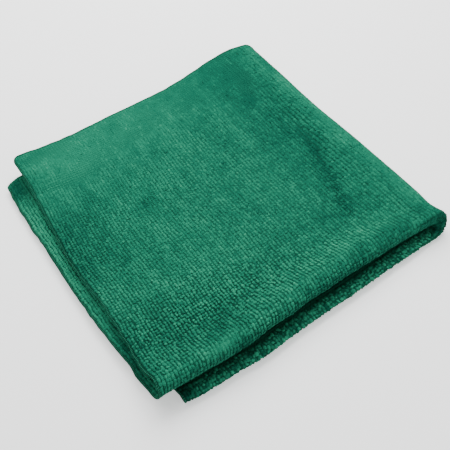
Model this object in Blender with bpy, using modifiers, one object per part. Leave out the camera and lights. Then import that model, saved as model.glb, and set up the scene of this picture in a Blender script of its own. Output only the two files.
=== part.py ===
"""Microfibre cleaning cloth, folded in half along its front and again along its right side.

The flat cloth is a grid. Each grid point is carried to its place in the folded pack, and Solidify
gives the sheet its thickness. From the top, the pack holds layers 1, 2, 3 and 4. Layers 1 and 2
are the upper pair and meet in the upper front fold. Layers 3 and 4 are the lower pair and meet in
the lower front fold. The right fold joins layer 1 to layer 4 outside, and layer 2 to layer 3 inside.

Lengths are in millimetres until the grid points are set. X runs to the right along the front
folds, Y to the back, Z up.
"""

from typing import NamedTuple

import bmesh
import bpy
import numpy as np

MM = 0.001
GREEN = (0.014, 0.19, 0.11, 1.0)
ROUGHNESS = 0.9

# Cloth
THICKNESS = 2.4
LAYER_GAP = 0.7
PLATEAU_GAP = 2.2

# Pack, from the front left corner of the upper pair
RIGHT_BEND_X = 195.0
RIGHT_PUFF_LENGTH = 27.0
RIGHT_LEAN = 1.2
FRONT_PUFF_LENGTH = 30.0
INNER_BACK_SETBACK = 12.5
PACK_CENTRE = (95.1, 96.4)

# Left end of the upper pair, which hangs past the lower pair
SUPPORT_EDGE_X = 5.0
DROOP = 3.2
DROOP_LENGTH = 15.0

# Grid lines
FLAT_STEPS_ACROSS = 15
FLAT_STEPS_ALONG = 16
RIGHT_BEND_STEPS = 10
FRONT_BEND_STEPS = 8
EVEN_SPACING = 1.0
FRONT_SPACING = 1.5


class LeftEdges(NamedTuple):
    """X of the four cut edges at the left, at one share of the way from front fold to back edge."""

    share: float
    layer_1: float
    layer_2: float
    layer_3: float
    layer_4: float


class FrontFolds(NamedTuple):
    """Front and back lines of the pack, and half the opening of each front fold, at one X."""

    x: float
    upper_front: float
    lower_front: float
    upper_back: float
    lower_back: float
    upper_opening: float
    lower_opening: float


class RightFold(NamedTuple):
    """How far the right fold holds its layers apart, and its shift in X, at one share of the depth."""

    share: float
    puff: float
    shift: float


class Mound(NamedTuple):
    """A soft ridge, or a trough where its height is negative, in the top layer."""

    x: float
    y: float
    half_length: float
    half_width: float
    heading: float
    height: float


LEFT_EDGES = (
    LeftEdges(0.00, -1.4, -4.4, 8.0, 8.6),
    LeftEdges(0.04, -1.0, -6.0, 6.6, 8.4),
    LeftEdges(0.13, -1.6, -7.2, 5.4, 8.2),
    LeftEdges(0.30, -1.8, -10.0, 5.6, 8.0),
    LeftEdges(0.45, -4.2, -11.4, 6.4, 8.4),
    LeftEdges(0.63, -3.2, -11.5, 7.2, 8.0),
    LeftEdges(0.80, -1.4, -13.2, 8.2, 7.4),
    LeftEdges(0.92, -0.8, -12.6, 8.8, 7.0),
    LeftEdges(1.00, -1.4, -9.2, 9.0, 7.0),
)

FRONT_FOLDS = (
    FrontFolds(0.0, -3.4, -9.8, 193.2, 186.0, 4.6, 2.3),
    FrontFolds(26.0, -5.8, -13.2, 193.4, 185.0, 4.8, 2.5),
    FrontFolds(46.0, -7.0, -14.2, 193.8, 184.6, 5.0, 2.6),
    FrontFolds(80.0, -4.6, -12.6, 196.6, 186.0, 5.0, 2.5),
    FrontFolds(115.0, -2.6, -10.6, 200.0, 188.0, 4.6, 2.4),
    FrontFolds(150.0, -2.0, -9.4, 203.6, 190.0, 4.0, 2.3),
    FrontFolds(175.0, -1.6, -8.4, 207.4, 191.0, 3.2, 2.2),
    FrontFolds(195.0, -2.4, -7.8, 204.6, 191.0, 2.5, 1.9),
)

RIGHT_FOLD = (
    RightFold(0.00, 1.7, 1.4),
    RightFold(0.10, 2.6, 0.0),
    RightFold(0.35, 4.4, -0.4),
    RightFold(0.60, 4.2, -1.0),
    RightFold(0.82, 5.0, -1.4),
    RightFold(1.00, 6.2, -1.2),
)

MOUNDS = (
    Mound(176.0, 122.0, 34.0, 8.0, 92.0, -1.3),
    Mound(167.0, 66.0, 36.0, 8.0, 71.0, -1.3),
    Mound(62.0, 17.0, 60.0, 7.0, 3.0, -1.2),
    Mound(6.0, 168.0, 14.0, 22.0, 90.0, 3.4),
    Mound(0.0, 193.0, 14.0, 12.0, 45.0, 1.2),
)


def read_table(rows, column, at):
    """Read one column of a table at the given places, as a smooth curve through its rows."""
    table = np.array(rows)
    names = type(rows[0])._fields
    keys = table[:, 0]
    values = table[:, names.index(column)]
    slopes = np.gradient(values, keys)
    place = np.clip(at, keys[0], keys[-1])
    row = np.clip(np.searchsorted(keys, place) - 1, 0, len(keys) - 2)
    width = keys[row + 1] - keys[row]
    part = (place - keys[row]) / width
    rest = 1.0 - part
    start = values[row] * (1.0 + 2.0 * part) + slopes[row] * width * part
    end = values[row + 1] * (1.0 + 2.0 * rest) - slopes[row + 1] * width * rest
    return rest * rest * start + part * part * end


def mix(low, high, share):
    """Blend from low to high."""
    return low + (high - low) * share


def fade(distance, length):
    """Fall smoothly from 1 at no distance to 0 at the given length."""
    return 0.5 + 0.5 * np.cos(np.pi * np.clip(distance / length, 0.0, 1.0))


def fold_stations(flat_steps, bend_steps, spacing):
    """List the grid lines over a fold, as the bend's angle and the share of the flat beside it.

    The angle is 90 degrees on one flat and -90 degrees on the other, and the flats' lines lie
    closer together near the bend where the spacing is above 1.
    """
    flat = (np.arange(flat_steps, 0, -1) / flat_steps) ** spacing
    bend = np.linspace(90.0, -90.0, bend_steps + 1)
    angle = np.concatenate([np.full(flat_steps, 90.0), bend, np.full(flat_steps, -90.0)])
    share = np.concatenate([flat, np.zeros(bend_steps + 1), flat[::-1]])
    return np.radians(angle), share


def half_opening(rest, nose, behind):
    """Half the distance between a pair's two layers, from its front fold back to where it lies flat."""
    return mix(rest, nose, fade(behind - nose, FRONT_PUFF_LENGTH))


def relief(x, y):
    """Height that the mounds and troughs add to the top layer."""
    total = np.zeros_like(x)
    for mound in MOUNDS:
        heading = np.radians(mound.heading)
        along = (x - mound.x) * np.cos(heading) + (y - mound.y) * np.sin(heading)
        across = (y - mound.y) * np.cos(heading) - (x - mound.x) * np.sin(heading)
        reach = (along / mound.half_length) ** 2 + (across / mound.half_width) ** 2
        total += mound.height * np.exp(-reach)
    return total


def grid_lines():
    """Cross the lines over the right fold with those over the front folds."""
    turn, reach = fold_stations(FLAT_STEPS_ACROSS, RIGHT_BEND_STEPS, EVEN_SPACING)
    bend, depth = fold_stations(FLAT_STEPS_ALONG, FRONT_BEND_STEPS, FRONT_SPACING)
    turn, bend = np.meshgrid(turn, bend, indexing="ij")
    reach, depth = np.meshgrid(reach, depth, indexing="ij")
    return turn, reach, bend, depth


def left_edge(upper, outer, depth):
    """X of the cut edge at the left, for a share of the upper pair and of the outer face."""
    upper_edge = mix(
        read_table(LEFT_EDGES, "layer_2", depth),
        read_table(LEFT_EDGES, "layer_1", depth),
        outer,
    )
    lower_edge = mix(
        read_table(LEFT_EDGES, "layer_3", depth),
        read_table(LEFT_EDGES, "layer_4", depth),
        outer,
    )
    return mix(lower_edge, upper_edge, upper)


def front_fold(column, reach):
    """Read one column of the front folds' table at a share of the way from right fold to left edge."""
    return read_table(FRONT_FOLDS, column, mix(RIGHT_BEND_X, 0.0, reach))


def pair_heights(x, y, bend_x, reach, depth):
    """Middle height of the lower and upper pair, and half the distance between each pair's layers."""
    lower_nose = front_fold("lower_opening", reach)
    upper_nose = front_fold("upper_opening", reach)
    behind_lower = y - front_fold("lower_front", reach) - THICKNESS / 2
    behind_upper = y - front_fold("upper_front", reach) - THICKNESS / 2
    lower_rest = (THICKNESS + LAYER_GAP) / 2
    upper_rest = (THICKNESS + PLATEAU_GAP + relief(x, y)) / 2
    lower_half = half_opening(lower_rest, lower_nose, behind_lower)
    upper_half = half_opening(upper_rest, upper_nose, behind_upper)
    puff = read_table(RIGHT_FOLD, "puff", depth) * fade(bend_x - x, RIGHT_PUFF_LENGTH)
    droop = DROOP * np.clip((SUPPORT_EDGE_X - x) / DROOP_LENGTH, 0.0, None) ** 2
    lower_middle = THICKNESS / 2 + lower_half
    upper_middle = lower_middle + lower_half + THICKNESS + LAYER_GAP + puff + upper_half - droop
    return lower_middle, upper_middle, lower_half, upper_half


def folded_points():
    """Work out where every grid point of the flat cloth lies in the folded pack."""
    turn, reach, bend, depth = grid_lines()
    upper = 0.5 + 0.5 * np.sin(turn)
    outer = 0.5 + 0.5 * np.sin(bend)

    # Plan
    bend_x = RIGHT_BEND_X + read_table(RIGHT_FOLD, "shift", depth) - RIGHT_LEAN * (1.0 - upper)
    x = mix(bend_x, left_edge(upper, outer, depth), reach)
    nose = mix(front_fold("lower_opening", reach), front_fold("upper_opening", reach), upper)
    front = mix(front_fold("lower_front", reach), front_fold("upper_front", reach), upper)
    back = mix(front_fold("lower_back", reach), front_fold("upper_back", reach), upper)
    start = front + THICKNESS / 2 + nose * (1.0 - np.cos(bend))
    end = back - INNER_BACK_SETBACK * (1.0 - outer)
    y = mix(start, end, depth)

    # Right fold, an arc from the upper pair round to the lower pair
    lower_middle, upper_middle, lower_half, upper_half = pair_heights(x, y, bend_x, reach, depth)
    middle = (upper_middle + lower_middle) / 2
    radius = (upper_middle - lower_middle) / 2
    radius = radius + mix(lower_half, upper_half, upper) * np.sin(bend)
    x = x + radius * np.cos(turn)
    z = middle + radius * np.sin(turn)
    return np.stack([x - PACK_CENTRE[0], y - PACK_CENTRE[1], z], axis=-1) * MM


def clear_scene():
    """Remove every object that the scene starts with."""
    for item in list(bpy.data.objects):
        bpy.data.objects.remove(item, do_unlink=True)


def make_material():
    """Make the green knitted microfibre."""
    material = bpy.data.materials.new("green_microfibre_knit")
    material.use_nodes = True
    shader = material.node_tree.nodes["Principled BSDF"]
    shader.inputs["Base Color"].default_value = GREEN
    shader.inputs["Roughness"].default_value = ROUGHNESS
    shader.inputs["Metallic"].default_value = 0.0
    return material


def make_cloth(collection):
    """Build the folded cloth as one sheet with Solidify."""
    points = folded_points()
    lines_across = points.shape[0]
    lines_along = points.shape[1]
    sheet = bmesh.new()
    bmesh.ops.create_grid(sheet, x_segments=lines_across - 1, y_segments=lines_along - 1, size=0.5)
    for vertex in sheet.verts:
        column = round((vertex.co.x + 0.5) * (lines_across - 1))
        row = round((vertex.co.y + 0.5) * (lines_along - 1))
        vertex.co = points[column, row]
    mesh = bpy.data.meshes.new("cloth")
    sheet.to_mesh(mesh)
    sheet.free()
    mesh.shade_smooth()
    cloth = bpy.data.objects.new("cloth", mesh)
    collection.objects.link(cloth)
    mesh.materials.append(make_material())
    thicken = cloth.modifiers.new("thickness", "SOLIDIFY")
    thicken.thickness = THICKNESS * MM
    thicken.offset = 0.0
    thicken.use_even_offset = False
    return cloth


def main():
    """Build the folded cloth in a collection of its own."""
    clear_scene()
    collection = bpy.data.collections.new("microfibre_cloth")
    bpy.context.scene.collection.children.link(collection)
    make_cloth(collection)


main()
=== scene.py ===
"""Green microfibre cloth: knitted with terry loops, overlocked round its cut edge, folded in four.

The cloth is made flat and then folded. Every flat piece (ground knit, loops, edge thread) has its
points in flat coordinates: a across, from the right fold; b along, from the front fold; and h, the
height above the middle of the sheet. FoldedPack carries such points to the folded pack.

From the top, the pack holds layers 1, 2, 3 and 4. Layers 1 and 2 are the upper pair (a above 0) and
meet in the upper front fold. Layers 3 and 4 are the lower pair (a below 0) and meet in the lower
front fold. Layers 1 and 4 are the outer ones (b above 0).

Lengths are in millimetres until a mesh gets its final points. X runs right, Y back, Z up.
"""

import logging
import math
from dataclasses import dataclass, field
from enum import Enum
from typing import Any, NamedTuple, Sequence

import bmesh
import bpy
import numpy as np
from bpy.types import Material, Mesh, Node, NodeSocket, NodeTree, Object
from mathutils import Matrix, Vector


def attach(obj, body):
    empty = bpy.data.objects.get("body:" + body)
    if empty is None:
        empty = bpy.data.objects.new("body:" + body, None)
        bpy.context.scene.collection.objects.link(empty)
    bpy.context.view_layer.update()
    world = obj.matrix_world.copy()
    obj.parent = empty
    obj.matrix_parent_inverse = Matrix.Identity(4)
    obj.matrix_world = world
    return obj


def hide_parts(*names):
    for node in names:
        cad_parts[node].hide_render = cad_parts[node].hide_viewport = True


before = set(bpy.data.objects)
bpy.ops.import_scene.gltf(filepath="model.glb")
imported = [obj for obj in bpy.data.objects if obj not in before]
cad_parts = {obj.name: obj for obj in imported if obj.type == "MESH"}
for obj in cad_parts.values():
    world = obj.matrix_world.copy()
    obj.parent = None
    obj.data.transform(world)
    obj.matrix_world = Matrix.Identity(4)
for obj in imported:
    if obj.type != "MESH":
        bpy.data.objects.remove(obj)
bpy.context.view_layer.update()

LOG = logging.getLogger("microfibre_cloth")
MM = 0.001
BODY = "root"
SOLID = "cloth"
KNIT_MAP = "knit_mm"
BAKE_MAP = "OFBake"
TONE = "tone"
# Attribute of how much of the yarn's green shows over the root colour, whose darkness is painted shade.
PILE_SHADE = "pile"
NOISE_KNOTS = 64
NOISE_START = 20.0
NOISE_GAIN = 1.7
NOISE = "ShaderNodeTexNoise"
MATH = "ShaderNodeMath"
MIX = "ShaderNodeMix"
BUMP = "ShaderNodeBump"
FLAT = {"noise_dimensions": "2D"}
RGBA = {"data_type": "RGBA"}

Array = np.ndarray


class Side(Enum):
    """The face of the flat sheet that loops stand on."""

    OUTER = 1.0
    INNER = -1.0


class LeftEdges(NamedTuple):
    """X of the four cut edges at the left, at one share of the way from front fold to back edge."""

    share: float
    layer_1: float
    layer_2: float
    layer_3: float
    layer_4: float


class FrontFolds(NamedTuple):
    """Front and back lines of the pack, and the front folds' shape, at one X.

    An opening is half the height between a fold's layers. The reach is how far the upper fold's round
    front comes forward of the place where it is highest.
    """

    x: float
    upper_front: float
    lower_front: float
    upper_back: float
    lower_back: float
    upper_opening: float
    lower_opening: float
    upper_reach: float


class RightFold(NamedTuple):
    """The right fold's shape at one share of the depth.

    The puff is how far the fold holds the two pairs apart, the shift moves its bend in X, and the inner
    shift moves the bend of the inner layers alone.
    """

    share: float
    puff: float
    shift: float
    inner_shift: float


class Mound(NamedTuple):
    """A soft ridge, or a trough where its height is negative, in the top layer."""

    x: float
    y: float
    half_length: float
    half_width: float
    heading: float
    height: float


class ToneAndLayPatch(NamedTuple):
    """A soft patch of tone and lay: how much lighter the pile is coloured there and how flat it lies. The
    tone is the nap of brushed pile, painted light and shade, or both, as each table says.
    """

    x: float
    y: float
    half_length: float
    half_width: float
    heading: float
    tone: float
    lay: float


class Frame(NamedTuple):
    """Points of the sheet's middle in the pack, with the two directions along it and its normal."""

    point: Array
    across: Array
    along: Array
    normal: Array


class Unevenness(NamedTuple):
    """Smooth random waves, alike on every run.

    Their random knots lie one spacing apart, and the seed picks the pattern. A pace under 1 draws the
    waves out along the cloth.
    """

    strength: float
    spacing: float
    seed: int
    pace: float = 1.0

    def at(self, x: Array, y: Array) -> Array:
        """Read the waves, as a cubic B-spline through their knots.

        Args:
            x: Places across, in millimetres.
            y: Places along, in millimetres.

        Returns:
            Values from about minus the strength to the strength.
        """
        knots = np.random.default_rng(self.seed).uniform(-1.0, 1.0, (NOISE_KNOTS, NOISE_KNOTS))
        places = (x / self.spacing + NOISE_START, self.pace * y / self.spacing + NOISE_START)
        (column, weights_x), (row, weights_y) = (spline_weights(place) for place in places)
        total = np.zeros(np.broadcast(*places).shape)
        for step_x, weight_x in enumerate(weights_x, -1):
            for step_y, weight_y in enumerate(weights_y, -1):
                picked = knots[(column + step_x) % NOISE_KNOTS, (row + step_y) % NOISE_KNOTS]
                total += weight_x * weight_y * picked
        return self.strength * NOISE_GAIN * total


class SoftLight(NamedTuple):
    """A square soft light: its place and side in metres, and its power in watts."""

    name: str
    place: tuple[float, float, float]
    size: float
    power: float


LEFT_EDGES = tuple(map(LeftEdges._make, (
    (0, -1.4, -4.4, 8, 8.6),
    (0.04, -2.6, -5.2, 6.6, 8.4),
    (0.13, -2.2, -6.4, 5.4, 8.2),
    (0.30, -1.8, -9.2, 5.6, 8),
    (0.45, -4.2, -10.7, 6.4, 8.4),
    (0.63, -3.2, -11.2, 7.2, 8),
    (0.80, -1.4, -12.4, 8.2, 7.4),
    (0.92, -0.8, -12.5, 8.8, 7),
    (1, -1.4, -12.2, 9, 7),
)))

FRONT_FOLDS = tuple(map(FrontFolds._make, (
    (0, -5.2, -11, 193.2, 186, 4.6, 2.3, 7),
    (26, -6, -12.5, 193.4, 185, 4.8, 2.5, 7.5),
    (46, -7, -12.8, 193.8, 184.6, 5, 2.6, 7.5),
    (80, -4.6, -11.2, 196.2, 186, 5, 2.5, 9.5),
    (115, -2.6, -10.2, 198.9, 188, 4.6, 2.4, 10.5),
    (150, -2, -9.1, 205.6, 190, 4, 2.3, 10),
    (175, -1.6, -7.9, 210.8, 191, 3.2, 1.8, 6),
    (195, -2.2, -7.2, 204.8, 191, 2.9, 1.3, 3),
)))

RIGHT_FOLD = tuple(map(RightFold._make, (
    (0, 2.6, 2, -4.5),
    (0.04, 2.8, -0.2, -3.6),
    (0.10, 3, 0.6, -2.5),
    (0.22, 3.8, 0.7, -0.8),
    (0.35, 4.4, 0.3, 0),
    (0.60, 4.2, -0.5, 0),
    (0.82, 5, 0.2, 0),
    (1, 6.2, -0.2, 0),
)))

MOUNDS = tuple(map(Mound._make, (
    (177, 118, 32, 6.5, 86, -1.5),
    (166, 66, 38, 6, 73, -1.7),
    (62, 17, 60, 7, 3, -1.2),
    (6, 168, 14, 22, 90, 3.4),
    (0, 193, 14, 12, 45, 1.2),
)))

# Patches on the outside, partly the nap of brushed pile and partly painted light: painted highlights on
# the front ridge and nose, painted shade in the troughs, in the dip behind the front ridge and on the
# front faces of the folds.
NAP_AND_PAINTED_LIGHT = tuple(map(ToneAndLayPatch._make, (
    (20, 165, 60, 38, 15, 0.07, 0.35),
    (110, 190, 80, 30, 3, -0.02, 0.4),
    (165, 190, 30, 40, 0, -0.14, 0.2),
    (164, 130, 100, 26, 90, -0.17, 0.1),
    (174, 122, 30, 8, 86, -0.1, -0.1),
    (165, 66, 38, 5, 73, -0.12, -0.1),
    (171, 84, 13, 2.6, 80, -0.2, -0.3),
    (160, 48, 17, 2.6, 70, -0.12, -0.3),
    (203, 75, 110, 12, 90, 0.14, 0.5),
    (0, 112, 35, 8, 90, -0.12, -0.1),
    (12, 105, 50, 26, 90, 0.03, -0.13),
    (25, 128, 25, 14, 90, -0.12, 0),
    (27, 160, 12, 9, 0, 0.08, 0),
    (125, 182, 16, 9, 0, -0.08, 0),
    (36, 100, 18, 9, 0, 0.1, 0),
    (124, 80, 10, 10, 0, 0.07, 0),
    (46, 60, 9, 8, 0, -0.09, 0),
    (114, 41, 20, 9, 0, -0.09, 0),
    (12, 100, 28, 14, 90, -0.07, 0),
    (0, 165, 30, 8, 90, -0.14, 0),
    (50, 144, 8, 14, 0, -0.08, 0),
    (3, 58, 8, 9, 0, 0.12, 0),
    (40, 46, 45, 20, 0, 0.2, -0.05),
    (20, 24, 55, 24, 0, -0.04, -0.34),
    (80, 22, 60, 15, 3, 0.07, -0.25),
    (49, 6, 18, 7, 85, -0.13, 0),
    (46, -1, 8, 6, 0, -0.1, 0),
    (30, 26, 22, 10, 0, 0.05, 0),
    (52, 27, 30, 9, 0, 0.12, 0),
    (150, 35, 28, 8, 10, -0.14, 0),
    (40, -1, 45, 5, 0, 0.2, 0),
    (40, -1, 9, 4, 0, 0, 0.45),
    (10, 10, 14, 4, -22, 0.2, 0),
    (70, -1, 42, 3, 0, 0.14, 0),
    (110, -6.5, 95, 3.5, 0, -0.36, -0.4),
    (118, -1, 55, 4, 0, -0.15, -0.2),
    (88, 6, 28, 5, 3, 0.14, 0),
    (200, -4, 10, 6, 0, -0.16, -0.5),
    (206, 40, 45, 5, 90, 0.08, 0),
    (67, 0, 10, 4, 0, 0.14, -0.1),
    (130, 15, 72, 7, 3, 0.2, -0.1),
    (155, 7, 38, 4, 0, -0.12, 0),
    (190, 12, 8, 14, 0, -0.12, 0),
    (196, -2, 16, 3, 0, -0.12, 0),
)))

# Painted shade on the lower fold's open left end, which lies in shadow.
UNDER_PAINTED_SHADE = (ToneAndLayPatch(8, -8, 5, 8, 0, -1, 0),)

# Painted shade on the inner faces' strip at the left, under the top layer's lifted back corner and along
# its edge towards the front.
INNER_PAINTED_SHADE = tuple(map(ToneAndLayPatch._make, (
    (-7, 172, 14, 6, 86, -0.9, 0),
    (-5, 22, 34, 5, 90, -0.25, 0),
    (-3, 24, 34, 2, 90, -0.5, 0),
)))

SOFT_LIGHTS = (
    SoftLight("soft_key", (0.26, 0.38, 0.60), 0.55, 10.4),
    SoftLight("soft_top", (-0.25, 0.45, 1.0), 0.8, 8.0),
    SoftLight("soft_fill", (0.22, -0.60, 0.20), 0.6, 2.0),
)


def linear(code: str) -> tuple[float, float, float, float]:
    """Turn an sRGB hex colour to Blender's linear values.

    Args:
        code: Six hex digits after a hash sign.

    Returns:
        Red, green, blue and an alpha of 1.
    """
    shares = [int(code[place : place + 2], 16) / 255 for place in (1, 3, 5)]
    red, green, blue = (s / 12.92 if s <= 0.04045 else ((s + 0.055) / 1.055) ** 2.4 for s in shares)
    return red, green, blue, 1.0


def read_table(rows: Sequence[Any], column: str, at: Array) -> Array:
    """Read one column of a table at the given places, as a smooth curve through its rows.

    Args:
        rows: Named tuples whose first field is the place along the table.
        column: Name of the field that is read.
        at: Places, held to the table's ends.

    Returns:
        The column's values at those places.
    """
    table = np.array(rows)
    names = type(rows[0])._fields
    keys = table[:, 0]
    values = table[:, names.index(column)]
    slopes = np.gradient(values, keys)
    place = np.clip(at, keys[0], keys[-1])
    row = np.clip(np.searchsorted(keys, place) - 1, 0, len(keys) - 2)
    width = keys[row + 1] - keys[row]
    part = (place - keys[row]) / width
    rest = 1.0 - part
    start = values[row] * (1.0 + 2.0 * part) + slopes[row] * width * part
    end = values[row + 1] * (1.0 + 2.0 * rest) - slopes[row + 1] * width * rest
    return rest * rest * start + part * part * end


def mix(low: Any, high: Any, share: Any) -> Any:
    """Blend from low to high."""
    return low + (high - low) * share


def fade(distance: Array, length: float) -> Array:
    """Fall smoothly from 1 at no distance to 0 at the given length."""
    return 0.5 + 0.5 * np.cos(np.pi * np.clip(distance / length, 0.0, 1.0))


def spline_weights(place: Array) -> tuple[Array, tuple[Array, ...]]:
    """Find the knot before each place, and the weights of the four knots round it.

    Args:
        place: Places along one direction, in knots.

    Returns:
        The knots' numbers, and their weights for a cubic B-spline.
    """
    knot = np.floor(place)
    part = place - knot
    weights = (
        (1 - part) ** 3 / 6,
        (3 * part**3 - 6 * part**2 + 4) / 6,
        (-3 * part**3 + 3 * part**2 + 3 * part + 1) / 6,
        part**3 / 6,
    )
    return knot.astype(int), weights


def patch_share(patch: Mound | ToneAndLayPatch, x: Array, y: Array) -> Array:
    """Find how much of a long patch with soft edges falls on each place.

    Args:
        patch: The patch, with its middle, half sizes and heading.
        x: Places in the pack.
        y: Places in the pack.

    Returns:
        Shares from 0, far off, to 1 at the middle.
    """
    heading = math.radians(patch.heading)
    along = (x - patch.x) * math.cos(heading) + (y - patch.y) * math.sin(heading)
    across = (y - patch.y) * math.cos(heading) - (x - patch.x) * math.sin(heading)
    return np.exp(-((along / patch.half_length) ** 2) - (across / patch.half_width) ** 2)


def add_tone_patches(patches: Sequence[ToneAndLayPatch], x: Array, y: Array) -> tuple[Array, Array]:
    """Add up a face's tone and lay patches.

    Args:
        patches: The face's tone and lay patches.
        x: Places in the pack.
        y: Places in the pack.

    Returns:
        How much lighter the pile is coloured there, with any painted light and shade, and how flat it
        lies, each from about -1 to 1.
    """
    tone, lay = np.zeros(x.shape), np.zeros(x.shape)
    for patch in patches:
        share = patch_share(patch, x, y)
        tone, lay = tone + patch.tone * share, lay + patch.lay * share
    return tone, lay


@dataclass(frozen=True)
class FoldedPack:
    """The shape in which the flat cloth lies, as a map from the flat cloth to the pack."""

    side: float = 200.0
    solid_thickness: float = 2.4
    layer_gap: float = 0.7
    plateau_gap: float = 2.2
    right_bend_x: float = 195.0
    right_half_arc: float = 13.0
    right_puff_length: float = 27.0
    right_lean: float = 1.2
    right_stretch: float = 0.17
    front_puff_length: float = 30.0
    square_length: float = 26.0
    square_power: float = 5.0
    inner_back_setback: float = 12.5
    inner_margin: float = 22.0
    centre: tuple[float, float] = (95.1, 96.4)
    support_edge_x: float = 5.0
    droop: float = 3.2
    droop_length: float = 15.0
    outer_corner: float = 6.0
    inner_corner: float = 2.5
    edge_grip: float = 12.0
    top_look_reach: float = 1.2
    # Painted light: the lower pair's tone is raised to lighten it where the upper pair shades it.
    under_painted_light: float = 0.12
    under_lay: float = -0.2
    front_waves_apart: float = 30.0
    front_wave: Unevenness = Unevenness(0.5, 9.0, 7)
    left_edge_wave: Unevenness = Unevenness(0.45, 3.6, 31)
    outer_edge_wave: Unevenness = Unevenness(0.45, 3.6, 32)
    inner_edge_wave: Unevenness = Unevenness(1.1, 3.6, 32)
    ripple: Unevenness = Unevenness(0.35, 26.0, 3)
    fine_ripple: Unevenness = Unevenness(0.12, 11.0, 5)
    probe: float = 0.05

    def draw_edges(self, a: Array, b: Array) -> tuple[Array, Array]:
        """Draw the corners in to an arc, and the cut edges in and out as the thread over them does.

        Args:
            a: Flat distance across.
            b: Flat distance along.

        Returns:
            The two distances after that.
        """
        radius = np.where(b > 0.0, self.outer_corner, self.inner_corner)
        past_a = np.maximum(np.abs(a) - self.side + radius, 0.0)
        past_b = np.maximum(np.abs(b) - self.side + radius, 0.0)
        # A corner's square is drawn in to its disc, so each distance shrinks as the other one grows.
        drawn_a = past_a * np.sqrt(1.0 - 0.5 * np.minimum(past_b / radius, 1.0) ** 2)
        drawn_b = past_b * np.sqrt(1.0 - 0.5 * np.minimum(past_a / radius, 1.0) ** 2)
        a, b = a + np.sign(a) * (drawn_a - past_a), b + np.sign(b) * (drawn_b - past_b)
        grip_a = (np.abs(a) / self.side) ** self.edge_grip
        grip_b = (np.abs(b) / self.side) ** self.edge_grip
        wave_b = np.where(b < 0.0, self.inner_edge_wave.at(a, b), self.outer_edge_wave.at(a, b))
        return a + grip_a * self.left_edge_wave.at(b, a), b + grip_b * wave_b

    def turn_over_right(self, a: Array) -> tuple[Array, Array]:
        """Angle over the right fold, and the share of the way from it to the left edge.

        Args:
            a: Flat distance across, positive in the upper pair.

        Returns:
            The angle, 90 degrees on the upper pair and -90 on the lower one, in radians, and the share.
        """
        turn = np.pi / 2 * np.clip(a / self.right_half_arc, -1.0, 1.0)
        flat = (np.abs(a) - self.right_half_arc) / (self.side - self.right_half_arc)
        flat = np.maximum(flat, 0.0)
        return turn, flat + self.right_stretch * flat * (1.0 - flat)

    def turn_over_front(self, b: Array, nose: Array, forward: Array) -> tuple[Array, Array]:
        """Angle over a front fold, and the share of the way from it to the back edge.

        Args:
            b: Flat distance along, positive in the outer layers.
            nose: Half the fold's opening.
            forward: How far the fold's round front comes forward.

        Returns:
            The angle, 90 degrees on the outer layer and -90 on the inner one, in radians, and the share.
        """
        half_arc = np.pi / 2 * np.sqrt((nose**2 + forward**2) / 2)
        bend = np.pi / 2 * np.clip(b / half_arc, -1.0, 1.0)
        depth = np.maximum((np.abs(b) - half_arc) / (self.side - half_arc), 0.0)
        return bend, depth

    def nose_profile(self, bend: Array, squareness: Array) -> tuple[Array, Array]:
        """Cosine and sine of the angle over a front fold, drawn out towards a square's corners.

        Args:
            bend: Angle over the fold.
            squareness: From 0, round, to 1, square.

        Returns:
            How far forward and how far up the sheet lies, as shares of the fold's own sizes.
        """
        power = mix(2.0, self.square_power, squareness)
        forward, up = np.cos(bend), np.sin(bend)
        size = (np.abs(forward) ** power + np.abs(up) ** power) ** (1.0 / power)
        return forward / size, up / size

    def left_edge(self, upper: Array, outer: Array, depth: Array) -> Array:
        """Find the cut edge at the left.

        Args:
            upper: Share of the upper pair.
            outer: Share of the outer layers.
            depth: Share of the way from the front fold to the back edge.

        Returns:
            The edge's X.
        """
        lower_edge, upper_edge = (
            mix(read_table(LEFT_EDGES, inside, depth), read_table(LEFT_EDGES, outside, depth), outer)
            for inside, outside in (("layer_3", "layer_4"), ("layer_2", "layer_1"))
        )
        return mix(lower_edge, upper_edge, upper)

    def front_fold(self, column: str, reach: Array) -> Array:
        """Read one column of the front folds' table at a share of the way to the left edge."""
        return read_table(FRONT_FOLDS, column, mix(self.right_bend_x, 0.0, reach))

    def both_folds(self, column: str, reach: Array) -> tuple[Array, Array]:
        """Read one column for the lower and the upper front fold."""
        return self.front_fold("lower_" + column, reach), self.front_fold("upper_" + column, reach)

    def relief(self, x: Array, y: Array) -> Array:
        """Find the height that mounds, troughs and finer unevenness add to the top layer.

        Args:
            x: Places in the pack.
            y: Places in the pack.

        Returns:
            The added heights.
        """
        total = self.ripple.at(x, y) + self.fine_ripple.at(x, y)
        for mound in MOUNDS:
            total = total + mound.height * patch_share(mound, x, y)
        return total

    def brushed(self, a: Array, x: Array, y: Array) -> tuple[Array, Array]:
        """Find the pile's tone and lay at places of the outside; the tone holds painted light and shade
        as well as the nap.

        The look of the top goes on round the right fold and fades out under it.

        Args:
            a: Flat distance across, which tells the upper pair from the lower one.
            x: Places in the pack.
            y: Places in the pack.

        Returns:
            How much lighter the pile is coloured there, with painted light and shade, and how flat it
            lies, each from about -1 to 1.
        """
        tone, lay = add_tone_patches(NAP_AND_PAINTED_LIGHT, x, y)
        # Under the right fold the tone goes over to the lower pair's painted light and painted shade.
        under_painted_light, under_lay = add_tone_patches(UNDER_PAINTED_SHADE, x, y)
        upper = np.clip(self.top_look_reach + a / self.right_half_arc, 0.0, 1.0)
        return mix(self.under_painted_light + under_painted_light, tone, upper), mix(self.under_lay + under_lay, lay, upper)

    def half_opening(self, rest: Array, nose: Array, behind: Array) -> Array:
        """Half the distance between a pair's layers, from its front fold to where it lies flat."""
        return mix(rest, nose, fade(behind, self.front_puff_length))

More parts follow.
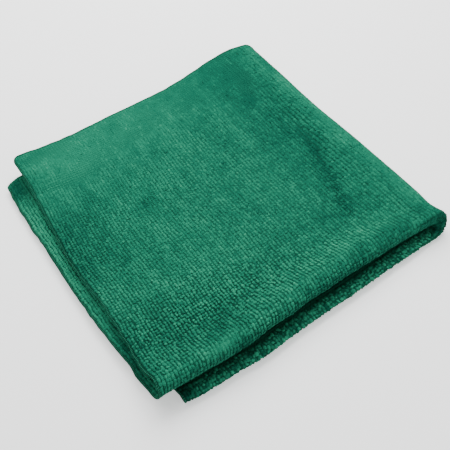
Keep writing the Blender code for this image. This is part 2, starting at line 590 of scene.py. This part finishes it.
    def heights(self, x: Array, y: Array, bend_x: Array, reach: Array, depth: Array) -> tuple[Array, ...]:
        """Where the two pairs lie in height.

        Args:
            x: Places in the pack, before the right fold's arc is added.
            y: Places in the pack.
            bend_x: Where the right fold begins.
            reach: Share of the way from the right fold to the left edge.
            depth: Share of the way from the front fold to the back edge.

        Returns:
            Middle heights of the lower and the upper pair, and half of each pair's layer distance.
        """
        thick = self.solid_thickness
        lower_nose, upper_nose = self.both_folds("opening", reach)
        lower_front, upper_front = self.both_folds("front", reach)
        behind_lower = y - lower_front - thick / 2 - lower_nose
        behind_upper = y - upper_front - thick / 2 - self.front_fold("upper_reach", reach)
        lower_rest = (thick + self.layer_gap) / 2
        upper_rest = (thick + self.plateau_gap + self.relief(x, y)) / 2
        lower_half = self.half_opening(lower_rest, lower_nose, behind_lower)
        upper_half = self.half_opening(upper_rest, upper_nose, behind_upper)
        puff = read_table(RIGHT_FOLD, "puff", depth) * fade(bend_x - x, self.right_puff_length)
        past = np.clip((self.support_edge_x - x) / self.droop_length, 0.0, None)
        lower_middle = thick / 2 + lower_half
        upper_middle = lower_middle + lower_half + thick + self.layer_gap + puff + upper_half
        return lower_middle, upper_middle - self.droop * past**2, lower_half, upper_half

    def middle(self, a: Array, b: Array) -> Array:
        """Where points of the flat sheet's middle lie in the pack.

        Args:
            a: Flat distance across.
            b: Flat distance along.

        Returns:
            Places in the pack, in millimetres.
        """
        a, b = self.draw_edges(a, b)
        turn, reach = self.turn_over_right(a)
        upper = 0.5 + 0.5 * np.sin(turn)
        lower_nose, upper_nose = self.both_folds("opening", reach)
        nose = mix(lower_nose, upper_nose, upper)
        forward = mix(lower_nose, self.front_fold("upper_reach", reach), upper)
        bend, depth = self.turn_over_front(b, nose, forward)
        outer = 0.5 + 0.5 * np.sin(bend)

        bend_x = self.right_bend_x + read_table(RIGHT_FOLD, "shift", depth)
        bend_x = bend_x - self.right_lean * (1.0 - upper)
        bend_x = bend_x + read_table(RIGHT_FOLD, "inner_shift", depth) * (1.0 - outer)
        x = mix(bend_x, self.left_edge(upper, outer, depth), reach)
        squareness = upper * fade(bend_x - x, self.square_length)
        ahead, up = self.nose_profile(bend, squareness)
        front = mix(*self.both_folds("front", reach), upper)
        front = front + self.front_wave.at(x, self.front_waves_apart * upper)
        back = mix(*self.both_folds("back", reach), upper)
        start = front + self.solid_thickness / 2 + forward * (1.0 - ahead)
        y = mix(start, back - self.inner_back_setback * (1.0 - outer), depth)

        lower_middle, upper_middle, lower_half, upper_half = self.heights(x, y, bend_x, reach, depth)
        radius = (upper_middle - lower_middle) / 2 + mix(lower_half, upper_half, upper) * up
        height = (upper_middle + lower_middle) / 2 + radius * np.sin(turn)
        return np.stack([x + radius * np.cos(turn), y, height], axis=-1)

    def frame_at(self, a: Array, b: Array) -> Frame:
        """The pack's surface at points of the flat sheet.

        Args:
            a: Flat distance across.
            b: Flat distance along.

        Returns:
            The points, how far one flat millimetre reaches across and along, and the outward normals.
        """
        across = (self.middle(a + self.probe, b) - self.middle(a - self.probe, b)) / (2 * self.probe)
        along = (self.middle(a, b + self.probe) - self.middle(a, b - self.probe)) / (2 * self.probe)
        normal = np.cross(along, across)
        normal = normal / np.linalg.norm(normal, axis=-1, keepdims=True)
        return Frame(self.middle(a, b), across, along, normal)

    def carry(self, flat: Array) -> Array:
        """Fold flat points.

        Args:
            flat: Rows of a, b and h.

        Returns:
            The folded points, in metres.
        """
        base = self.frame_at(flat[:, 0], flat[:, 1])
        return self.settle(base.point + base.normal * flat[:, 2:3])

    def settle(self, points: Array) -> Array:
        """Move points to the object's origin, press what is under the cloth flat, and turn to metres.

        Args:
            points: Places in the pack, in millimetres.

        Returns:
            The points, in metres.
        """
        placed = points - np.array([self.centre[0], self.centre[1], 0.0])
        placed[:, 2] = np.maximum(placed[:, 2], 0.0)
        return placed * MM


def read_points(mesh: Mesh) -> Array:
    """Read a mesh's points.

    Args:
        mesh: The mesh.

    Returns:
        Rows of three.
    """
    flat = np.empty(len(mesh.vertices) * 3, np.float32)
    mesh.vertices.foreach_get("co", flat)
    return flat.reshape(-1, 3).astype(float)


def write_points(mesh: Mesh, points: Array) -> None:
    """Write rows of three back to a mesh's points."""
    mesh.vertices.foreach_set("co", points.astype(np.float32).ravel())
    mesh.update()


def add_values(mesh: Mesh, name: str, values: Array) -> None:
    """Give each point of a mesh a number that its material reads."""
    mesh.attributes.new(name, "FLOAT", "POINT").data.foreach_set("value", values.astype(np.float32))


def add_map(mesh: Mesh, name: str, places: Array) -> None:
    """Give a mesh a UV map.

    Args:
        mesh: The mesh.
        name: The map's name.
        places: One U and V for each of the mesh's points.
    """
    corners = np.empty(len(mesh.loops), np.int32)
    mesh.loops.foreach_get("vertex_index", corners)
    layer = mesh.uv_layers.new(name=name)
    layer.uv.foreach_set("vector", places[corners].astype(np.float32).ravel())


def add_maps(mesh: Mesh, flat: Array, margin: float) -> None:
    """Give a mesh its flat places as a map in millimetres, and again fitted to a unit square.

    Args:
        mesh: The mesh.
        flat: Rows of a, b and h.
        margin: Millimetres left free round the places in the square.
    """
    places = flat[:, :2]
    low, high = places.min(0) - margin, places.max(0) + margin
    add_map(mesh, KNIT_MAP, places)
    add_map(mesh, BAKE_MAP, (places - low) / (high - low))


def to_mesh(shape: bmesh.types.BMesh, name: str) -> Mesh:
    """Turn a finished bmesh to a mesh.

    Args:
        shape: The bmesh, which is freed.
        name: The mesh's name.

    Returns:
        The new mesh.
    """
    mesh = bpy.data.meshes.new(name)
    shape.to_mesh(mesh)
    shape.free()
    return mesh


def evaluated_mesh(item: Object) -> Mesh:
    """Make a mesh of what an object's modifiers or bevel give."""
    return bpy.data.meshes.new_from_object(item.evaluated_get(bpy.context.evaluated_depsgraph_get()))


def dress(mesh: Mesh, material: Material, inside_out: bool) -> None:
    """Turn a mesh's faces outwards, smooth it and give it its material.

    Args:
        mesh: The mesh.
        material: The material.
        inside_out: Whether folding has turned the faces inwards.
    """
    if inside_out:
        mesh.flip_normals()
    mesh.shade_smooth()
    mesh.materials.append(material)


def add_object(name: str, data: Any) -> Object:
    """Put a new object in the scene, at the origin.

    Args:
        name: The object's name.
        data: Its mesh, curve, light or camera.

    Returns:
        The object.
    """
    item = bpy.data.objects.new(name, data)
    bpy.context.scene.collection.objects.link(item)
    return item


def start_material(name: str, values: dict[str, Any]) -> tuple[Material, Node]:
    """Start a material.

    Args:
        name: The material's name.
        values: What is the same all over, by the shader's input.

    Returns:
        The material and its shader.
    """
    material = bpy.data.materials.new(name)
    material.use_nodes = True
    shader = material.node_tree.nodes["Principled BSDF"]
    for socket, value in values.items():
        shader.inputs[socket].default_value = value
    return material, shader


def add_node(
    tree: NodeTree,
    kind: str,
    settings: dict[str, Any] | None = None,
    values: dict[Any, Any] | None = None,
    links: dict[Any, NodeSocket] | None = None,
) -> Node:
    """Add a node with its settings and links.

    Args:
        tree: The material's node tree.
        kind: The node's type.
        settings: Properties of the node itself.
        values: Constant values, by the input's name or number.
        links: Outputs of other nodes that feed inputs, by the input's name or number.

    Returns:
        The new node.
    """
    node = tree.nodes.new(kind)
    for name, value in (settings or {}).items():
        setattr(node, name, value)
    for name, value in (values or {}).items():
        node.inputs[name].default_value = value
    for name, output in (links or {}).items():
        tree.links.new(output, node.inputs[name])
    return node


@dataclass(frozen=True)
class KnittedMicrofibre:
    """Split polyester and polyamide yarn, knitted in loops and brushed.

    Each filament is finer than a hundredth of a millimetre, so the yarn looks dense and matt. Its green
    is mixed towards a dark root colour low on each loop, as painted shade between the loops, and
    towards a pale bloom where the tone is high, which is partly brushed pile and partly painted
    highlights.
    The filaments are too fine to show, so they are drawn as tufts of 0.45 mm.
    """

    name: str = "green_brushed_microfibre_knit"
    # The root colour is painted shade between the loops.
    root: str = "#053327"
    shaded: str = "#024636"
    bloom: str = "#30926f"
    roughness: float = 0.92
    sheen: float = 0.03
    sheen_roughness: float = 0.5
    sheen_tint: str = "#4fc795"
    specular: float = 0.04
    tuft_mm: float = 0.45
    tuft_relief_mm: float = 0.35
    tuft_detail: float = 2.0
    tuft_share: float = 1.0
    patch_mm: float = 11.0
    patch_detail: float = 3.0
    patch_roughness: float = 0.6
    patch_share: float = 0.24
    wale_mm: float = 2.05
    course_mm: float = 1.85
    loop_relief_mm: float = 0.45
    bump_strength: float = 0.8

    def make(self, looped: bool) -> Material:
        """Make the material.

        Args:
            looped: Whether the piece has its loops as shapes. On the ground knit they are bump.

        Returns:
            The new material.
        """
        values = {
            "Roughness": self.roughness,
            "Sheen Weight": self.sheen,
            "Sheen Roughness": self.sheen_roughness,
            "Sheen Tint": linear(self.sheen_tint),
            "Specular IOR Level": self.specular,
        }
        material, shader = start_material(self.name + ("_loops" if looped else "_ground"), values)
        tree = material.node_tree
        place = add_node(tree, "ShaderNodeUVMap", {"uv_map": KNIT_MAP}).outputs["UV"]
        sizes = {"Scale": 1.0 / self.tuft_mm, "Detail": self.tuft_detail}
        tufts = add_node(tree, NOISE, FLAT, sizes, {"Vector": place}).outputs["Fac"]
        tree.links.new(self.colour(tree, place, tufts), shader.inputs["Base Color"])
        tree.links.new(self.relief(tree, place, tufts, looped), shader.inputs["Normal"])
        return material

    def colour(self, tree: NodeTree, place: NodeSocket, tufts: NodeSocket) -> NodeSocket:
        """Green with painted shade deepest at the loops' roots, and palest where the tone is highest.

        Args:
            tree: The material's nodes.
            place: The flat place, in millimetres.
            tufts: The fibres' unevenness, from 0 to 1.

        Returns:
            The colour.
        """
        sizes = {
            "Scale": 1.0 / self.patch_mm,
            "Detail": self.patch_detail,
            "Roughness": self.patch_roughness,
        }
        patches = add_node(tree, NOISE, FLAT, sizes, {"Vector": place}).outputs["Fac"]
        tone = add_node(tree, "ShaderNodeAttribute", {"attribute_name": TONE}).outputs["Fac"]
        add_up = {"operation": "MULTIPLY_ADD"}
        add_up_held = {**add_up, "use_clamp": True}
        uneven = add_node(tree, MATH, add_up, {1: self.patch_share}, {0: patches, 2: tone}).outputs[0]
        pale = add_node(tree, MATH, add_up_held, {1: self.tuft_share}, {0: tufts, 2: uneven}).outputs[0]
        greens = {6: linear(self.shaded), 7: linear(self.bloom)}
        yarn = add_node(tree, MIX, RGBA, greens, {0: pale}).outputs[2]
        # Painted shade: the pile attribute mixes the green towards the root colour low on the loops.
        pile = add_node(tree, "ShaderNodeAttribute", {"attribute_name": PILE_SHADE}).outputs["Fac"]
        return add_node(tree, MIX, RGBA, {6: linear(self.root)}, {0: pile, 7: yarn}).outputs[2]

    def relief(
        self, tree: NodeTree, place: NodeSocket, tufts: NodeSocket, looped: bool
    ) -> NodeSocket:
        """Fine fibres, and on the ground knit the loops too.

        Args:
            tree: The material's nodes.
            place: The flat place, in millimetres.
            tufts: The fibres' unevenness, from 0 to 1.
            looped: Whether the piece has its loops as shapes.

        Returns:
            The bumped normal.
        """
        fibres = {"Strength": self.bump_strength, "Distance": self.tuft_relief_mm * MM}
        fuzz = add_node(tree, BUMP, values=fibres, links={"Height": tufts}).outputs[0]
        if looped:
            return fuzz
        apart = add_node(tree, "ShaderNodeSeparateXYZ", links={0: place})
        waves = []
        for axis, pitch in (("X", self.wale_mm), ("Y", self.course_mm)):
            wave = apart.outputs[axis]
            for operation, values in (("MULTIPLY", {1: math.pi / pitch}), ("SINE", {}), ("ABSOLUTE", {})):
                wave = add_node(tree, MATH, {"operation": operation}, values, {0: wave}).outputs[0]
            waves.append(wave)
        product = add_node(tree, MATH, {"operation": "MULTIPLY"}, links=dict(enumerate(waves)))
        loops = {"Strength": self.bump_strength, "Distance": self.loop_relief_mm * MM}
        links = {"Height": product.outputs[0], "Normal": fuzz}
        return add_node(tree, BUMP, values=loops, links=links).outputs[0]


@dataclass(frozen=True)
class OverlockThread:
    """Textured polyester sewing thread, a little smoother and lighter than the knit that it binds."""

    name: str = "green_textured_polyester_thread"
    colour: str = "#1d7a5b"
    shade: str = "#0e5a45"
    roughness: float = 0.8
    sheen: float = 0.05
    specular: float = 0.15
    ply_mm: float = 0.5
    ply_relief_mm: float = 0.08
    ply_detail: float = 2.0
    bump_strength: float = 0.5

    def make(self) -> Material:
        """Make the material.

        Returns:
            The new material.
        """
        values = {
            "Roughness": self.roughness,
            "Sheen Weight": self.sheen,
            "Specular IOR Level": self.specular,
        }
        material, shader = start_material(self.name, values)
        tree = material.node_tree
        place = add_node(tree, "ShaderNodeUVMap", {"uv_map": KNIT_MAP}).outputs["UV"]
        sizes = {"Scale": 1.0 / self.ply_mm, "Detail": self.ply_detail}
        plies = add_node(tree, NOISE, FLAT, sizes, {"Vector": place}).outputs["Fac"]
        greens = {6: linear(self.shade), 7: linear(self.colour)}
        tint = add_node(tree, MIX, RGBA, greens, {0: plies}).outputs[2]
        tree.links.new(tint, shader.inputs["Base Color"])
        height = {"Strength": self.bump_strength, "Distance": self.ply_relief_mm * MM}
        bump = add_node(tree, BUMP, values=height, links={"Height": plies}).outputs[0]
        tree.links.new(bump, shader.inputs["Normal"])
        return material


@dataclass(frozen=True)
class PaleFloor:
    """Matt white studio paper, which takes soft shadows and no glints."""

    name: str = "white_matt_paper"
    colour: str = "#f4f5f5"
    roughness: float = 0.9
    specular: float = 0.1
    glow: float = 0.7

    def make(self) -> Material:
        """Make the material.

        Returns:
            The new material.
        """
        values = {
            "Base Color": linear(self.colour),
            "Roughness": self.roughness,
            "Specular IOR Level": self.specular,
            "Emission Color": linear(self.colour),
            "Emission Strength": self.glow,
        }
        return start_material(self.name, values)[0]


def fit_to_cloth(piece: Object) -> Object:
    """Make a piece part of the cloth: it rides on the body and stands for the solid, which it hides.

    Args:
        piece: The finished piece.

    Returns:
        The same piece.
    """
    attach(piece, BODY)
    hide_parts(SOLID)
    LOG.info("%s: %d faces", piece.name, len(piece.data.polygons))
    return piece


@dataclass(frozen=True)
class GroundKnit:
    """The knit that holds the loops: one thin sheet from cut edge to cut edge."""

    pack: FoldedPack
    finish: KnittedMicrofibre
    thickness: float = 0.9
    usual_tone: float = -0.29
    # Share of the yarn's green on the ground knit; the rest is the root colour, painted shade between the
    # loops.
    usual_pile_shade: float = 0.5
    # Inside the folds the ground knit takes the full root colour: painted shade in the folds' openings.
    inner_pile_shade: float = 0.0
    flat_steps: int = 58
    bend_steps: int = 14
    past_right_bend: float = 2.0
    front_bend_reach: float = 9.0
    bake_margin: float = 2.0

    def lines(self, bend_reach: float) -> Array:
        """Places of the sheet's grid lines, close together over the fold.

        Args:
            bend_reach: How far the close lines reach to each side of the fold.

        Returns:
            Flat distances from one cut edge to the other.
        """
        bend = np.linspace(-bend_reach, bend_reach, 2 * self.bend_steps + 1)
        flat = np.linspace(bend_reach, self.pack.side, self.flat_steps + 1)[1:]
        return np.concatenate([-flat[::-1], bend, flat])

    def build(self) -> Object:
        """Build the sheet.

        Returns:
            The finished piece.
        """
        across = self.lines(self.pack.right_half_arc + self.past_right_bend)
        along = self.lines(self.front_bend_reach)
        sheet = bmesh.new()
        bmesh.ops.create_grid(sheet, x_segments=len(across) - 1, y_segments=len(along) - 1, size=0.5)
        mesh = to_mesh(sheet, "ground_knit")
        shares = read_points(mesh)[:, :2] + 0.5
        columns = np.rint(shares[:, 0] * (len(across) - 1)).astype(int)
        rows = np.rint(shares[:, 1] * (len(along) - 1)).astype(int)
        flat = np.stack([across[columns], along[rows], np.zeros(len(shares))], axis=-1)
        add_maps(mesh, flat, self.bake_margin)
        folded = self.pack.middle(flat[:, 0], flat[:, 1])
        tone, lay = self.pack.brushed(flat[:, 0], folded[:, 0], folded[:, 1])
        add_values(mesh, TONE, self.usual_tone + tone)
        # Inner faces inside the folds, away from the margin that shows: painted shade.
        before_margin = flat[:, 0] < self.pack.side - self.pack.inner_margin
        inside_fold_shade = before_margin & (flat[:, 1] < -self.front_bend_reach)
        pile = np.clip(self.usual_pile_shade + lay, 0.0, 1.0)
        add_values(mesh, PILE_SHADE, np.where(inside_fold_shade, self.inner_pile_shade, pile))
        write_points(mesh, self.pack.carry(flat))
        dress(mesh, self.finish.make(looped=False), inside_out=True)
        piece = add_object("ground_knit", mesh)
        thicken = piece.modifiers.new("thickness", "SOLIDIFY")
        thicken.thickness = self.thickness * MM
        thicken.offset = 0.0
        thicken.use_even_offset = False
        return fit_to_cloth(piece)


@dataclass(frozen=True)
class LoopField:
    """A rectangle of the flat cloth, the side on which its loops stand, and how ruffled they are."""

    name: str
    a_from: float
    a_to: float
    b_from: float
    b_to: float
    side: Side
    ruffle: float = 1.0


@dataclass(frozen=True)
class TerryLoops:
    """The short pile: one small rounded loop for each wale and course of the knit."""

    pack: FoldedPack
    finish: KnittedMicrofibre
    ground: float = 0.4
    width: float = 1.86
    length: float = 1.95
    height: float = 0.75
    fullness: float = 1.28
    laid_width: float = 0.16
    laid_length: float = 0.58
    laid_height: float = -0.92
    sides: int = 6
    rings: int = 4
    foot_cut: float = 0.001
    shoulder: tuple[float, float] = (0.1, 0.9)
    stray: float = 0.18
    turn_spread: float = 0.25
    size_spread: float = 0.16
    spread_limit: float = 2.0
    standing_spread: float = 1.25
    laid_spread: float = 0.6
    height_limits: tuple[float, float] = (0.45, 1.25)
    lean: float = 0.18
    tone_spread: float = 0.105
    tone_ruffle: float = 1.4
    lump: float = 0.1
    usual_tone: float = -0.275
    usual_lay: float = 0.7
    inner_tone: float = 0.2
    inner_lay: float = 0.75
    nap_tone: float = 0.5
    broad_nap: Unevenness = Unevenness(0.05, 12.0, 21)
    fine_nap: Unevenness = Unevenness(0.06, 4.0, 22)
    wander: Unevenness = Unevenness(0.35, 9.0, 23)
    fine_streak: Unevenness = Unevenness(0.1, 2.6, 24, 0.3)
    broad_streak: Unevenness = Unevenness(0.04, 7.0, 25, 0.5)
    bake_margin: float = 0.5
    seed: int = 11

    def one_loop(self) -> Mesh:
        """Build one loop as a low closed dome, with its flat foot at the origin.

        Returns:
            The loop's mesh.
        """
        dome = bmesh.new()
        bmesh.ops.create_uvsphere(dome, u_segments=self.sides, v_segments=self.rings, radius=1.0)
        bmesh.ops.bisect_plane(
            dome,
            geom=dome.verts[:] + dome.edges[:] + dome.faces[:],
            plane_co=(0.0, 0.0, -self.foot_cut),
            plane_no=(0.0, 0.0, -1.0),
            clear_outer=True,
        )
        bmesh.ops.holes_fill(dome, edges=[edge for edge in dome.edges if edge.is_boundary])
        low, high = self.shoulder
        shoulder = [point for point in dome.verts if low < point.co.z < high]
        bmesh.ops.scale(dome, vec=(self.fullness, self.fullness, 1.0), verts=shoulder)
        bmesh.ops.scale(dome, vec=(self.width / 2, self.length / 2, self.height), verts=dome.verts)
        bmesh.ops.recalc_face_normals(dome, faces=dome.faces)
        return to_mesh(dome, "terry_loop")

    def rows_of_loops(self, name: str, wales: int, courses: int, wale: float, course: float) -> Object:
        """Repeat the loop over a field with two arrays, still flat.

        Args:
            name: The piece's name.
            wales: Number of loops across.
            courses: Number of loops along.
            wale: Distance between loops across.
            course: Distance between loops along.

        Returns:
            The piece.
        """
        piece = add_object(name, self.one_loop())
        for direction, count, offset in (
            ("wales", wales, (wale, 0.0, 0.0)),
            ("courses", courses, (0.0, course, 0.0)),
        ):
            array = piece.modifiers.new(direction, "ARRAY")
            array.count = count
            array.use_relative_offset = False
            array.use_constant_offset = True
            array.constant_offset_displace = offset
        repeated = evaluated_mesh(piece)
        piece.modifiers.clear()
        piece.data = repeated
        return piece

    def build(self, area: LoopField) -> Object:
        """Build one field of loops.

        Args:
            area: The rectangle of the flat cloth that they cover.

        Returns:
            The finished piece.
        """
        width, length = area.a_to - area.a_from, area.b_to - area.b_from
        wales, courses = round(width / self.finish.wale_mm), round(length / self.finish.course_mm)
        wale, course = width / wales, length / courses
        piece = self.rows_of_loops(area.name, wales, courses, wale, course)
        points = read_points(piece.data).reshape(courses, wales, -1, 3)
        column = np.arange(wales)[None, :] * np.ones((courses, 1))
        row = np.arange(courses)[:, None] * np.ones((1, wales))
        place = np.stack([column * wale, row * course, np.zeros_like(column)], axis=-1)
        shape = points - place[:, :, None, :]
        a = area.a_from + (column + 0.5) * wale
        b = area.b_from + (row + 0.5) * course
        base = self.pack.frame_at(a, b)
        # On the inner side the tone holds painted shade under the top layer's edge.
        tone, lay = add_tone_patches(INNER_PAINTED_SHADE, base.point[..., 0], base.point[..., 1])
        tone, lay = self.inner_tone + tone, np.clip(self.inner_lay + lay, 0.0, 1.0)
        if area.side is Side.OUTER:
            tone, lay = self.pack.brushed(a, base.point[..., 0], base.point[..., 1])
            tone, lay = self.usual_tone + tone, np.clip(self.usual_lay + lay, 0.0, 1.0)
        # Painted shade: low on a loop the green goes towards the root colour, less so where it is brushed
        # flat.
        pile = mix(np.clip(shape[..., 2] / self.height, 0.0, 1.0), 1.0, lay[..., None])
        flat, unevenness = self.disorder(shape, a, b, lay, area)
        offset = flat - np.stack([a, b, np.zeros_like(a)], axis=-1)[:, :, None, :]
        directions = np.stack([base.across, base.along, base.normal], axis=-2)
        folded = base.point[:, :, None, :] + offset @ directions
        mesh = piece.data
        mesh.name = area.name
        add_maps(mesh, flat.reshape(-1, 3), self.bake_margin)
        add_values(mesh, PILE_SHADE, pile.ravel())
        add_values(mesh, TONE, np.repeat((tone + unevenness).ravel(), shape.shape[2]))
        write_points(mesh, self.pack.settle(folded.reshape(-1, 3)))
        dress(mesh, self.finish.make(looped=True), inside_out=area.side is Side.OUTER)
        return fit_to_cloth(piece)

    def disorder(
        self, shape: Array, a: Array, b: Array, lay: Array, area: LoopField
    ) -> tuple[Array, Array]:
        """Make the loops as uneven as a knit's, each with its own size, turn, lean and place.

        Args:
            shape: Points of each loop about its own foot.
            a: Flat place of each loop, across.
            b: Flat place of each loop, along.
            lay: How flat each loop is brushed.
            area: The field that they belong to.

        Returns:
            Flat points of all loops, and how much lighter each one is than its neighbours.
        """
        random = np.random.default_rng(self.seed + int(10 * abs(area.a_from) + abs(area.b_from)))
        upright = area.ruffle * mix(self.standing_spread, self.laid_spread, lay)
        spread = random.standard_normal((3, *a.shape)).clip(-self.spread_limit, self.spread_limit)
        size = 1.0 + self.size_spread * upright * spread
        turn = self.turn_spread * upright * random.standard_normal(a.shape)
        lean = self.lean * upright * random.standard_normal((2, *a.shape))
        stray = self.stray * upright * random.standard_normal((2, *a.shape))
        tone_spread = self.tone_spread * mix(1.0, upright, self.tone_ruffle)
        wild = tone_spread * random.standard_normal(a.shape)
        nap = self.broad_nap.at(a, b) + self.fine_nap.at(a, b)
        width = size[0] * (1.0 + self.laid_width * lay)
        length = size[1] * (1.0 + self.laid_length * lay)
        rise = np.clip(size[2] * (1.0 + nap) + wild, *self.height_limits)
        height = rise * (1.0 + self.laid_height * lay)
        lumps = 1.0 + self.lump * random.standard_normal((3, *shape.shape[:3]))
        x, y, h = (
            shape[..., axis] * scale[..., None] * lumps[axis]
            for axis, scale in enumerate((width, length, height))
        )
        cos, sin = np.cos(turn)[..., None], np.sin(turn)[..., None]
        across = x * cos - y * sin + lean[0][..., None] * h
        along = x * sin + y * cos + lean[1][..., None] * h
        foot_a = a + stray[0] + self.wander.at(a, b)
        foot_b = b + stray[1]
        up = area.side.value * (self.ground + h)
        flat = np.stack([foot_a[..., None] + across, foot_b[..., None] + along, up], axis=-1)
        streak = self.fine_streak.at(a, b) + self.broad_streak.at(a, b)
        return flat, wild + streak + self.nap_tone * nap


@dataclass(frozen=True)
class OverlockEdge:
    """The thread that is wound over the cut edge all round the cloth."""

    pack: FoldedPack
    finish: OverlockThread
    pitch: float = 1.0
    outer_reach: float = 1.0
    inner_reach: float = 1.6
    past_edge: float = -0.2
    half_height: float = 0.62
    thread: float = 0.24
    steps: int = 8
    roundness: float = 0.55
    bake_margin: float = 2.0

    def stitches(self) -> Array:
        """Wind the thread round the flat cloth.

        Returns:
            The thread's points, as rows of a, b and h.
        """
        side = self.pack.side
        turns = round(2 * side / self.pitch)
        phase = np.linspace(0.0, 2 * np.pi * turns, turns * self.steps, endpoint=False)
        along = mix(-side, side, phase / (2 * np.pi * turns))
        swing = np.sin(phase)
        reach = np.where(swing > 0.0, self.outer_reach, self.inner_reach)
        inward = reach / 2 * (1.0 - np.cos(phase)) - self.past_edge
        height = self.half_height * np.sign(swing) * np.abs(swing) ** self.roundness
        out = side - inward
        held = np.clip(along, -out, out)
        edges = [
            np.stack([out * cos - held * sin, out * sin + held * cos, height], axis=-1)
            for cos, sin in ((1, 0), (0, 1), (-1, 0), (0, -1))
        ]
        return np.concatenate(edges)

    def build(self) -> Object:
        """Build the thread as a tube along its flat path, and fold it with the cloth.

        Returns:
            The finished piece.
        """
        path = self.stitches()
        curve = bpy.data.curves.new("overlock_path", "CURVE")
        curve.dimensions = "3D"
        curve.bevel_depth = self.thread
        curve.bevel_resolution = 0
        spline = curve.splines.new("POLY")
        spline.points.add(len(path) - 1)
        spline.points.foreach_set("co", np.column_stack([path, np.ones(len(path))]).ravel())
        spline.use_cyclic_u = True
        guide = add_object("overlock_path", curve)
        mesh = evaluated_mesh(guide)
        bpy.data.objects.remove(guide, do_unlink=True)
        mesh.name = "overlock_thread"
        for layer in list(mesh.uv_layers):
            mesh.uv_layers.remove(layer)
        flat = read_points(mesh)
        add_maps(mesh, flat, self.bake_margin)
        write_points(mesh, self.pack.carry(flat))
        dress(mesh, self.finish.make(), inside_out=True)
        return fit_to_cloth(add_object("overlock_thread", mesh))


@dataclass(frozen=True)
class MicrofibreCloth:
    """The whole cloth, from its ground knit to its edge thread."""

    pack: FoldedPack = field(default_factory=FoldedPack)
    knit: KnittedMicrofibre = field(default_factory=KnittedMicrofibre)
    thread: OverlockThread = field(default_factory=OverlockThread)
    panels: int = 4
    nose_cover: float = 8.0
    under_ruffle: float = 1.8
    rim: float = 1.6

    def fields(self) -> list[LoopField]:
        """List where loops stand: the whole outside, and the margin of the inner faces that shows.

        Returns:
            The fields.
        """
        side, bound = self.pack.side, self.pack.side - self.rim
        panel = 2 * bound / self.panels
        found = [
            LoopField(
                f"terry_loops_{number + 1}",
                -bound + number * panel,
                -bound + (number + 1) * panel,
                -self.nose_cover,
                bound,
                Side.OUTER,
                self.under_ruffle if number < self.panels / 2 else 1.0,
            )
            for number in range(self.panels)
        ]
        margin_from = side - self.pack.inner_margin
        inside = "terry_loops_inside_upper_left"
        found.append(LoopField(inside, margin_from, bound, -bound, bound, Side.INNER))
        return found

    def build(self) -> None:
        ground = GroundKnit(self.pack, self.knit).build()
        loops = TerryLoops(self.pack, self.knit)
        pieces = [loops.build(area) for area in self.fields()]
        pieces.append(OverlockEdge(self.pack, self.thread).build())


@dataclass(frozen=True)
class Studio:
    """Plain pale floor, soft lights and the camera, in metres."""

    floor_size: float = 6.0
    floor_height: float = -0.0002
    white: str = "#ffffff"
    sky_strength: float = 0.3
    lens: float = 48.0
    sensor: float = 36.0
    nearest: float = 0.01
    azimuth: float = -34.0
    elevation: float = 51.5
    distance: float = 0.380
    target: tuple[float, float, float] = (-0.0041, -0.0204, 0.0)

    def lay_floor(self) -> None:
        """Lay a pale floor under the cloth."""
        sheet = bmesh.new()
        bmesh.ops.create_grid(sheet, x_segments=1, y_segments=1, size=self.floor_size / 2)
        bmesh.ops.translate(sheet, vec=(0.0, 0.0, self.floor_height), verts=sheet.verts)
        mesh = to_mesh(sheet, "floor")
        mesh.materials.append(PaleFloor().make())
        add_object("floor", mesh)

    def light(self) -> None:
        """Light the cloth softly from above and behind, with a pale sky all round."""
        for light in SOFT_LIGHTS:
            lamp = bpy.data.lights.new(light.name, "AREA")
            lamp.shape = "SQUARE"
            lamp.size = light.size
            lamp.energy = light.power
            lamp.color = linear(self.white)[:3]
            holder = add_object(light.name, lamp)
            holder.location = light.place
            holder.rotation_euler = (-Vector(light.place)).to_track_quat("-Z", "Y").to_euler()
        sky = bpy.data.worlds.new("pale_sky")
        sky.use_nodes = True
        background = sky.node_tree.nodes["Background"]
        background.inputs["Color"].default_value = linear(self.white)
        background.inputs["Strength"].default_value = self.sky_strength
        bpy.context.scene.world = sky

    def place_camera(self) -> None:
        """Place the camera at the photograph's viewing angle."""
        azimuth, elevation = math.radians(self.azimuth), math.radians(self.elevation)
        level = Vector((math.sin(azimuth), -math.cos(azimuth), 0.0))
        back = level * math.cos(elevation) + Vector((0.0, 0.0, math.sin(elevation)))
        right = Vector((math.cos(azimuth), math.sin(azimuth), 0.0))
        up = back.cross(right)
        lens = bpy.data.cameras.new("camera")
        lens.lens = self.lens
        lens.sensor_width = self.sensor
        lens.clip_start = self.nearest
        camera = add_object("camera", lens)
        turn = Matrix((right, up, back)).transposed().to_4x4()
        camera.matrix_world = Matrix.Translation(Vector(self.target) + back * self.distance) @ turn
        bpy.context.scene.camera = camera


def main() -> None:
    """Build the cloth, then the studio round it."""
    logging.basicConfig(level=logging.INFO, format="%(message)s")
    studio = Studio()
    studio.place_camera()
    studio.lay_floor()
    studio.light()
    MicrofibreCloth().build()


if __name__ == "__main__":
    main()
